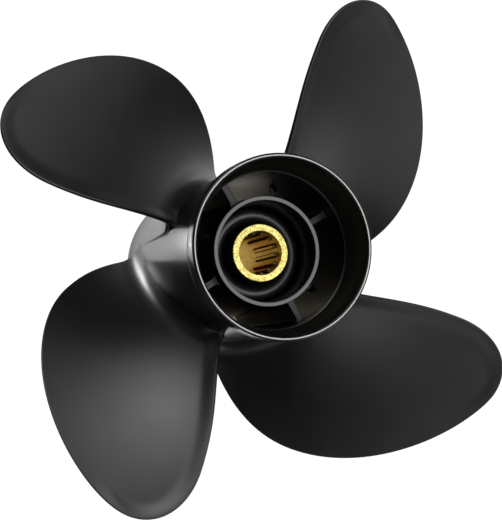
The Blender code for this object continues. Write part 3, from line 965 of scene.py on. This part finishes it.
bm = bmesh.new()
bmesh.ops.create_grid(bm, x_segments=1, y_segments=1, size=FLOOR_SIZE / 2)
floor_mesh = bpy.data.meshes.new("pale_floor")
bm.to_mesh(floor_mesh)
bm.free()
floor = bpy.data.objects.new("pale_floor", floor_mesh)
bpy.context.scene.collection.objects.link(floor)


def lamp_group():
    """A round soft lamp in the sky: brightest along its direction, half as bright at its half width."""
    group = bpy.data.node_groups.new("soft_lamp", "ShaderNodeTree")
    for name, kind in (
        ("Facing", "Vector"), ("Direction", "Vector"), ("Sharpness", "Float"), ("Strength", "Float"),
    ):
        group.interface.new_socket(name, in_out="INPUT", socket_type=f"NodeSocket{kind}")
    group.interface.new_socket("Light", in_out="OUTPUT", socket_type="NodeSocketFloat")
    nodes, links = group.nodes, group.links
    inputs = nodes.new("NodeGroupInput")
    outputs = nodes.new("NodeGroupOutput")
    facing = nodes.new("ShaderNodeVectorMath")
    facing.operation = "DOT_PRODUCT"
    away = nodes.new("ShaderNodeMath")
    away.operation = "SUBTRACT"
    away.inputs[1].default_value = 1.0
    fall = nodes.new("ShaderNodeMath")
    fall.operation = "MULTIPLY"
    glow = nodes.new("ShaderNodeMath")
    glow.operation = "EXPONENT"
    light = nodes.new("ShaderNodeMath")
    light.operation = "MULTIPLY"
    links.new(inputs.outputs["Facing"], facing.inputs[0])
    links.new(inputs.outputs["Direction"], facing.inputs[1])
    links.new(facing.outputs["Value"], away.inputs[0])
    links.new(away.outputs["Value"], fall.inputs[0])
    links.new(inputs.outputs["Sharpness"], fall.inputs[1])
    links.new(fall.outputs["Value"], glow.inputs[0])
    links.new(glow.outputs["Value"], light.inputs[0])
    links.new(inputs.outputs["Strength"], light.inputs[1])
    links.new(light.outputs["Value"], outputs.inputs["Light"])
    return group


soft_lamp = lamp_group()


def lamp_sum(tree, facing, base, lamps):
    """Adds soft lamps to a base light. Returns the socket that carries the sum."""
    total = tree.nodes.new("ShaderNodeValue")
    total.outputs["Value"].default_value = base
    for azimuth, elevation, half_width, strength in lamps:
        turn, rise = math.radians(azimuth), math.radians(elevation)
        lamp = tree.nodes.new("ShaderNodeGroup")
        lamp.node_tree = soft_lamp
        lamp.inputs["Direction"].default_value = (
            math.cos(turn) * math.cos(rise), math.sin(turn) * math.cos(rise), math.sin(rise))
        lamp.inputs["Sharpness"].default_value = math.log(2.0) / (1.0 - math.cos(math.radians(half_width)))
        lamp.inputs["Strength"].default_value = strength
        more = tree.nodes.new("ShaderNodeMath")
        tree.links.new(facing, lamp.inputs["Facing"])
        tree.links.new(total.outputs["Value"], more.inputs[0])
        tree.links.new(lamp.outputs["Light"], more.inputs[1])
        total = more
    return total.outputs["Value"]


def floor_finish():
    """White to the camera outside the barrel, and inside it the painted shade. What the part mirrors
    depends on the distance.
    """
    material = bpy.data.materials.new("pale_floor")
    material.use_nodes = True
    nodes, links = material.node_tree.nodes, material.node_tree.links
    shader = nodes["Principled BSDF"]
    shader.inputs["Base Color"].default_value = (0.05, 0.05, 0.05, 1.0)
    shader.inputs["Roughness"].default_value = 0.9
    shader.inputs["Emission Strength"].default_value = 1.0
    place = nodes.new("ShaderNodeTexCoord")
    distance = nodes.new("ShaderNodeVectorMath")
    distance.operation = "LENGTH"
    share = nodes.new("ShaderNodeMapRange")
    share.inputs["From Max"].default_value = FLOOR_LIGHT[-1][0]
    light = nodes.new("ShaderNodeValToRGB")
    light.color_ramp.interpolation = "EASE"
    stops = light.color_ramp.elements
    while len(stops) < len(FLOOR_LIGHT):
        stops.new(0.5)
    for stop, (radius, colour) in zip(stops, FLOOR_LIGHT):
        stop.position = radius / FLOOR_LIGHT[-1][0]
        stop.color = (*colour, 1.0)
    raised = nodes.new("ShaderNodeVectorMath")
    raised.operation = "SUBTRACT"
    raised.inputs[1].default_value = (0.0, 0.0, FLOOR_SEEN_FROM_Z)
    facing = nodes.new("ShaderNodeVectorMath")
    facing.operation = "NORMALIZE"
    links.new(place.outputs["Object"], raised.inputs[0])
    links.new(raised.outputs["Vector"], facing.inputs[0])
    lamps = lamp_sum(material.node_tree, facing.outputs["Vector"], 0.0, FLOOR_LAMPS)
    sum_of_both = nodes.new("ShaderNodeVectorMath")
    links.new(light.outputs["Color"], sum_of_both.inputs[0])
    links.new(lamps, sum_of_both.inputs[1])
    outside = nodes.new("ShaderNodeMath")
    outside.operation = "GREATER_THAN"
    outside.inputs[1].default_value = FLOOR_WHITE_FROM
    path = nodes.new("ShaderNodeLightPath")
    white = nodes.new("ShaderNodeMath")
    white.operation = "MULTIPLY"
    seen = nodes.new("ShaderNodeMix")
    seen.data_type = "RGBA"
    seen.inputs["B"].default_value = (1.0, 1.0, 1.0, 1.0)
    links.new(place.outputs["Object"], distance.inputs[0])
    links.new(distance.outputs["Value"], share.inputs["Value"])
    links.new(share.outputs["Result"], light.inputs["Fac"])
    links.new(distance.outputs["Value"], outside.inputs[0])
    links.new(outside.outputs["Value"], white.inputs[0])
    links.new(path.outputs["Is Camera Ray"], white.inputs[1])
    links.new(white.outputs["Value"], seen.inputs["Factor"])
    links.new(sum_of_both.outputs["Vector"], seen.inputs["A"])
    links.new(seen.outputs["Result"], shader.inputs["Emission Color"])
    return material


floor_mesh.materials.append(floor_finish())


def studio_world():
    """A dim room, white to the camera, with the soft lamps in the directions that the part mirrors."""
    world = bpy.data.worlds.new("studio")
    world.use_nodes = True
    nodes, links = world.node_tree.nodes, world.node_tree.links
    place = nodes.new("ShaderNodeTexCoord")
    light = lamp_sum(world.node_tree, place.outputs["Generated"], ROOM_LIGHT, LAMPS)
    path = nodes.new("ShaderNodeLightPath")
    seen = nodes.new("ShaderNodeMix")
    seen.inputs["B"].default_value = ROOM_WHITE
    links.new(path.outputs["Is Camera Ray"], seen.inputs["Factor"])
    links.new(light, seen.inputs["A"])
    links.new(seen.outputs["Result"], nodes["Background"].inputs["Strength"])
    nodes["Background"].inputs["Color"].default_value = (1.0, 1.0, 1.0, 1.0)
    return world


bpy.context.scene.world = studio_world()

for place, size, radiance in LOW_LAMPS:
    low_lamp_data = bpy.data.lights.new("low_lamp", "AREA")
    low_lamp_data.shape = "RECTANGLE"
    low_lamp_data.size, low_lamp_data.size_y = size
    low_lamp_data.energy = radiance * math.pi * size[0] * size[1]
    low_lamp = bpy.data.objects.new("low_lamp", low_lamp_data)
    low_lamp.location = place
    low_lamp.rotation_euler = Euler([math.radians(turn) for turn in LOW_LAMP_TURN])
    low_lamp.visible_camera = False
    bpy.context.scene.collection.objects.link(low_lamp)

camera_data = bpy.data.cameras.new("camera")
camera_data.lens = CAMERA_LENS
camera_data.sensor_width = CAMERA_SENSOR
camera = bpy.data.objects.new("camera", camera_data)
camera.location = CAMERA_PLACE
camera.rotation_euler = Euler([math.radians(turn) for turn in CAMERA_TURN])
bpy.context.scene.collection.objects.link(camera)
bpy.context.scene.camera = camera
bpy.context.scene.view_settings.view_transform = "Standard"
